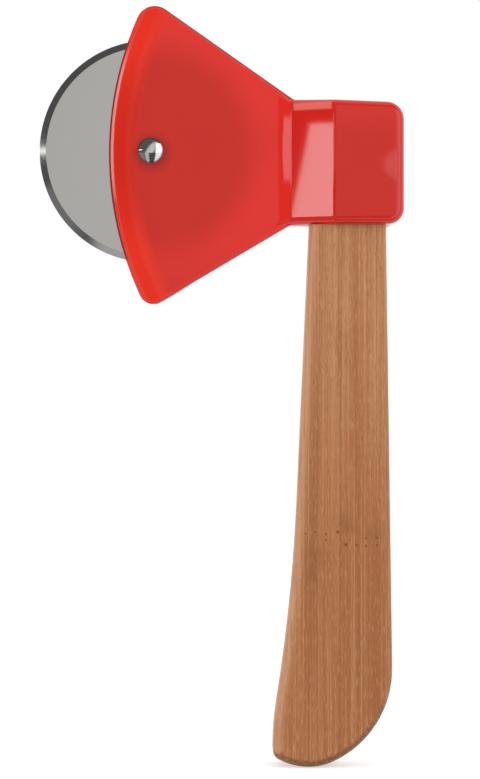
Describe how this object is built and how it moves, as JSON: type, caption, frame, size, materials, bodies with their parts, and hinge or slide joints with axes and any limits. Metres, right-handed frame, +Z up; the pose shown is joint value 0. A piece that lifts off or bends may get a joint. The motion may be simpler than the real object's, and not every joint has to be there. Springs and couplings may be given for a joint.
{
  "type": "axe-shaped pizza cutter",
  "caption": "Axe-shaped pizza cutter: a round steel wheel turns in the bit of a red moulded axe head on a bamboo handle.",
  "frame": {"origin": "centre of the bounding box at the level of the handle's lowest point", "axes": "+Z up the handle to the head, +X towards the poll and away from the wheel, +Y towards the back cheek, along the wheel's axle"},
  "size_m": [0.1044, 0.02, 0.2179],
  "materials": {
    "red_plastic": "glossy, slightly translucent red moulding",
    "blade_steel": "satin stainless steel with a ground edge",
    "washer_plastic": "plain natural nylon",
    "rivet_steel": "polished domed rivet",
    "bamboo": "oiled caramel bamboo with fine upright grain"
  },
  "bodies": {
    "tool": {"head_front_half": "red_plastic", "head_back_half": "red_plastic", "front_wheel_washer": "washer_plastic", "back_wheel_washer": "washer_plastic", "rivet_barrel": "rivet_steel", "rivet_pin": "rivet_steel", "handle_front_ply": "bamboo", "handle_core_ply": "bamboo", "handle_back_ply": "bamboo"},
    "wheel": {"cutting_wheel": "blade_steel"}
  },
  "joints": [
    {"name": "wheel_spin", "type": "hinge", "parent": "tool", "child": "wheel", "pos_m": [-0.02017, 0, 0.1765], "axis": [0, 1, 0], "continuous": true}
  ]
}
